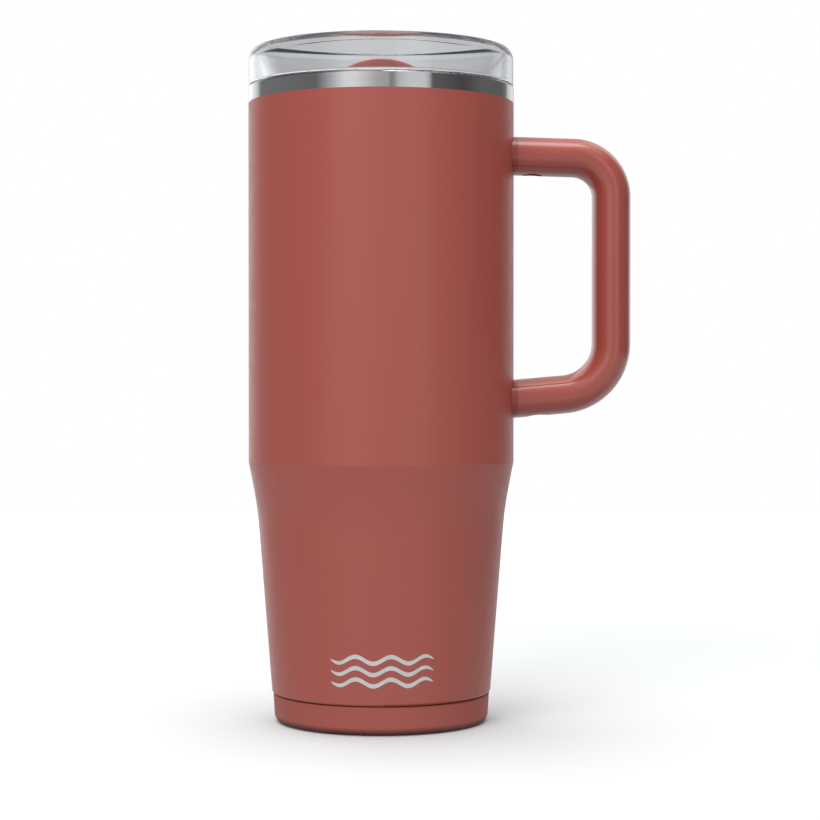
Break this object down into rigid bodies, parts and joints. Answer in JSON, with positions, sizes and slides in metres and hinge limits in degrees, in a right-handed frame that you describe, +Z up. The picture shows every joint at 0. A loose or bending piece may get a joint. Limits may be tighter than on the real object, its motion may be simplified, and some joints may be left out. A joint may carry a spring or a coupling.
{
  "type": "insulated travel mug",
  "caption": "Tall double-walled steel travel mug with a tapered foot, silicone boot, bolted side handle and a clear press-in lid with a turning closure dial.",
  "frame": {"origin": "centre of the boot's flat underside, on the mug's axis", "axes": "+Z up along the mug's axis; +X from the axis towards the handle; -Y is the side with the sip opening"},
  "size_m": [0.1297, 0.09, 0.2273],
  "materials": {
    "body_paint": "fine satin powder coat, terracotta",
    "bracket_paint": "satin powder coat, terracotta, a little glossier than the body",
    "bright_steel": "polished stainless steel lip over a finely brushed wall",
    "plain_steel": "bare stainless sheet",
    "solder": "dull solder",
    "getter": "sintered grey pellet",
    "boot_silicone": "matte terracotta silicone",
    "core_plastic": "stiff dark red-brown nylon",
    "handle_skin": "smooth satin terracotta, soft to the touch",
    "screw_steel": "stainless steel",
    "lid_clear": "clear, polished, slightly grey",
    "clear_silicone": "milky translucent silicone",
    "dial_clear": "clear moulded plastic, a little frosted",
    "dial_plastic": "satin moulded plastic, terracotta",
    "retainer_plastic": "pale grey moulded plastic"
  },
  "bodies": {
    "mug": {"outer_shell": "body_paint", "inner_liner": "bright_steel", "liner_bottom": "plain_steel", "outer_bottom": "plain_steel", "vacuum_seal": "solder", "getter_pellet": "getter", "getter_strap": "plain_steel", "base_boot": "boot_silicone", "upper_bracket": "bracket_paint", "lower_bracket": "bracket_paint", "handle_core": "core_plastic", "handle_grip": "handle_skin", "upper_handle_screw": "screw_steel", "lower_handle_screw": "screw_steel"},
    "lid": {"lid_body": "lid_clear", "lid_gasket": "clear_silicone"},
    "dial": {"selector_dial": "dial_clear", "dial_tab": "dial_plastic", "dial_seal": "clear_silicone", "hub_o_ring": "clear_silicone", "spring_washer": "screw_steel", "dial_retainer": "retainer_plastic", "dial_screw": "screw_steel"}
  },
  "joints": [
    {"name": "lid_lift", "type": "slide", "parent": "mug", "child": "lid", "axis": [0, 0, 1], "range_m": [0, 0.045]},
    {"name": "dial_turn", "type": "hinge", "parent": "lid", "child": "dial", "pos_m": [0, 0, 0.214], "axis": [0, 0, 1], "range_deg": [-60, 60]}
  ]
}
